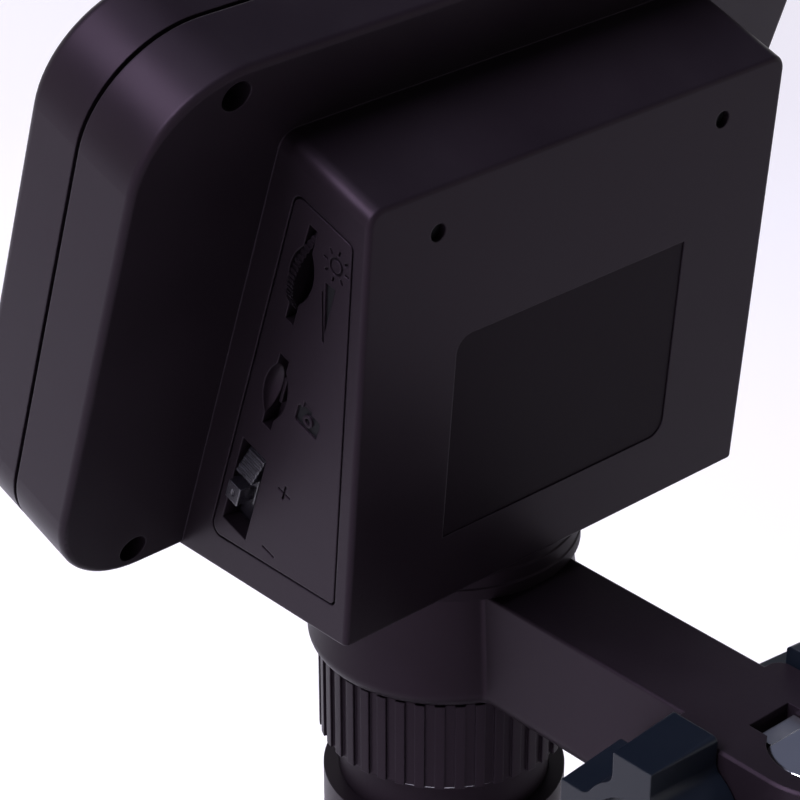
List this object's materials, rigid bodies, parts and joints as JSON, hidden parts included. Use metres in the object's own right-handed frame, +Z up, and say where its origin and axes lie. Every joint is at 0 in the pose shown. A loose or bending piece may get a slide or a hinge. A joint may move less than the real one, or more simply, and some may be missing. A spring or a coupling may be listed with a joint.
{
  "type": "lcd digital microscope",
  "caption": "Desktop digital microscope with a tilted screen head on a ring arm, rack-and-pinion height focus on a steel post, and a flat base with stage clips.",
  "frame": {"origin": "centre of the base's footprint, on the surface that the feet stand on", "axes": "+Z up along the post, the screen faces -Y, +X towards the side panel with the slider"},
  "size_m": [0.126, 0.156, 0.2355],
  "materials": {
    "enamelled_casting": "black enamel",
    "matte_black_plastic": "matt",
    "rubber": "matt",
    "zinc_steel": "zinc plated",
    "white_plate": "satin",
    "chrome": "bright",
    "spring_steel": "satin",
    "ground_steel": "ground and plated",
    "rack_steel": "milled",
    "brass": "machined",
    "dark_plastic": "fine texture",
    "panel_plastic": "fine texture, a little lighter",
    "black_anodised": "black anodised",
    "glass": "clear",
    "display": "black, off",
    "circuit_board": "solder resist",
    "chip_plastic": "moulded",
    "led_white": "phosphor",
    "grey_plastic": "satin",
    "battery_foil": "foil",
    "label_film": "satin film, bare"
  },
  "bodies": {
    "base": {"base_casting": "enamelled_casting", "base_cover": "matte_black_plastic", "rubber_feet": "rubber", "foot_screws": "zinc_steel", "stage_plate": "white_plate", "clip_studs": "chrome", "post": "ground_steel", "post_flange": "enamelled_casting", "post_screw": "zinc_steel", "rack": "rack_steel", "rack_screws": "zinc_steel"},
    "left_clip": {"left_stage_clip": "spring_steel"},
    "right_clip": {"right_stage_clip": "spring_steel"},
    "carriage": {"arm": "enamelled_casting", "pinion_bushes": "brass"},
    "pinion_drive": {"pinion_shaft": "rack_steel", "left_focus_knob": "dark_plastic", "right_focus_knob": "dark_plastic", "knob_grub_screws": "zinc_steel"},
    "post_lock": {"post_lock_screw": "dark_plastic"},
    "ring_clamp": {"ring_clamp_screw": "chrome"},
    "head": {"barrel_tube": "black_anodised", "retaining_ring": "spring_steel", "light_housing": "dark_plastic", "led_board": "circuit_board", "led_lamps": "led_white", "light_cover": "glass", "rear_housing": "dark_plastic", "front_bezel": "dark_plastic", "screen_glass": "glass", "lcd_module": "display", "main_board": "circuit_board", "board_components": "chip_plastic", "button_board": "circuit_board", "side_panel": "panel_plastic", "side_board": "circuit_board", "side_switches": "chip_plastic", "io_board": "circuit_board", "dc_inlet": "chip_plastic", "battery_tray": "matte_black_plastic", "battery": "battery_foil", "sensor_board": "circuit_board", "case_screws": "zinc_steel", "neck_screws": "zinc_steel", "tray_screws": "zinc_steel", "label_plate": "label_film"},
    "focus_collar": {"focus_ring": "dark_plastic"},
    "lens_cell": {"lens_carrier": "black_anodised", "lenses": "glass"},
    "dimmer_wheel": {"brightness_wheel": "dark_plastic"},
    "snapshot": {"snapshot_key": "dark_plastic"},
    "zoom": {"zoom_slider": "panel_plastic"},
    "card": {"memory_card": "chip_plastic"},
    "menu_button_cap": {"menu_button": "grey_plastic"},
    "down_button_cap": {"down_button": "grey_plastic"},
    "ok_button_cap": {"ok_button": "grey_plastic"},
    "up_button_cap": {"up_button": "grey_plastic"},
    "power_button_cap": {"power_button": "grey_plastic"}
  },
  "joints": [
    {"name": "height_slide", "type": "slide", "parent": "base", "child": "carriage", "axis": [0, 0, 1], "range_m": [-0.058, 0]},
    {"name": "focus_knob_turn", "type": "hinge", "parent": "carriage", "child": "pinion_drive", "pos_m": [0, 0.0389, 0.1246], "axis": [1, 0, 0], "range_deg": [-2, 927]},
    {"name": "post_lock_turn", "type": "hinge", "parent": "carriage", "child": "post_lock", "pos_m": [0, 0.06569, 0.109], "axis": [0, 1, 0], "range_deg": [0, 540]},
    {"name": "ring_clamp_turn", "type": "hinge", "parent": "carriage", "child": "ring_clamp", "pos_m": [0, -0.0434, 0.12665], "axis": [0, -1, 0], "range_deg": [0, 540]},
    {"name": "head_swivel", "type": "hinge", "parent": "carriage", "child": "head", "pos_m": [0, -0.023, 0.136], "axis": [0, 0, 1], "range_deg": [-60, 60]},
    {"name": "focus_ring_turn", "type": "hinge", "parent": "head", "child": "focus_collar", "pos_m": [0, -0.023, 0.1095], "axis": [0, 0, 1], "range_deg": [-122, 122]},
    {"name": "lens_cell_slide", "type": "slide", "parent": "head", "child": "lens_cell", "axis": [0, 0, 1], "range_m": [-0.002, 0.002]},
    {"name": "brightness_turn", "type": "hinge", "parent": "head", "child": "dimmer_wheel", "pos_m": [0.0322, -0.0092, 0.19708], "axis": [0, -0.9466, 0.3223], "range_deg": [-135, 135]},
    {"name": "snapshot_press", "type": "slide", "parent": "head", "child": "snapshot", "axis": [-1, 0, 0], "range_m": [0, 0.0008], "stiffness_N_per_m": 1200, "springref_m": -0.0003},
    {"name": "zoom_slide", "type": "slide", "parent": "head", "child": "zoom", "axis": [0, 0.3223, 0.9466], "range_m": [-0.0013, 0.0013], "stiffness_N_per_m": 600},
    {"name": "memory_card_slide", "type": "slide", "parent": "head", "child": "card", "axis": [-1, 0, 0], "range_m": [0, 0.012]},
    {"name": "menu_press", "type": "slide", "parent": "head", "child": "menu_button_cap", "axis": [0, 0.9466, -0.3223], "range_m": [0, 0.0004], "stiffness_N_per_m": 2500, "springref_m": -0.0002},
    {"name": "down_press", "type": "slide", "parent": "head", "child": "down_button_cap", "axis": [0, 0.9466, -0.3223], "range_m": [0, 0.0004], "stiffness_N_per_m": 2500, "springref_m": -0.0002},
    {"name": "ok_press", "type": "slide", "parent": "head", "child": "ok_button_cap", "axis": [0, 0.9466, -0.3223], "range_m": [0, 0.0004], "stiffness_N_per_m": 2500, "springref_m": -0.0002},
    {"name": "up_press", "type": "slide", "parent": "head", "child": "up_button_cap", "axis": [0, 0.9466, -0.3223], "range_m": [0, 0.0004], "stiffness_N_per_m": 2500, "springref_m": -0.0002},
    {"name": "power_press", "type": "slide", "parent": "head", "child": "power_button_cap", "axis": [0, 0.9466, -0.3223], "range_m": [0, 0.0004], "stiffness_N_per_m": 2500, "springref_m": -0.0002},
    {"name": "left_clip_turn", "type": "hinge", "parent": "base", "child": "left_clip", "pos_m": [-0.03467, 0.00409, 0.0158], "axis": [0, 0, 1], "range_deg": [-40, 40]},
    {"name": "right_clip_turn", "type": "hinge", "parent": "base", "child": "right_clip", "pos_m": [0.03467, 0.00409, 0.0158], "axis": [0, 0, 1], "range_deg": [-40, 40]}
  ],
  "couplings": [
    {"joint": "focus_knob_turn", "follows": "height_slide", "rad_per_m": -277.78},
    {"joint": "focus_ring_turn", "follows": "lens_cell_slide", "rad_per_m": 1047.2}
  ]
}
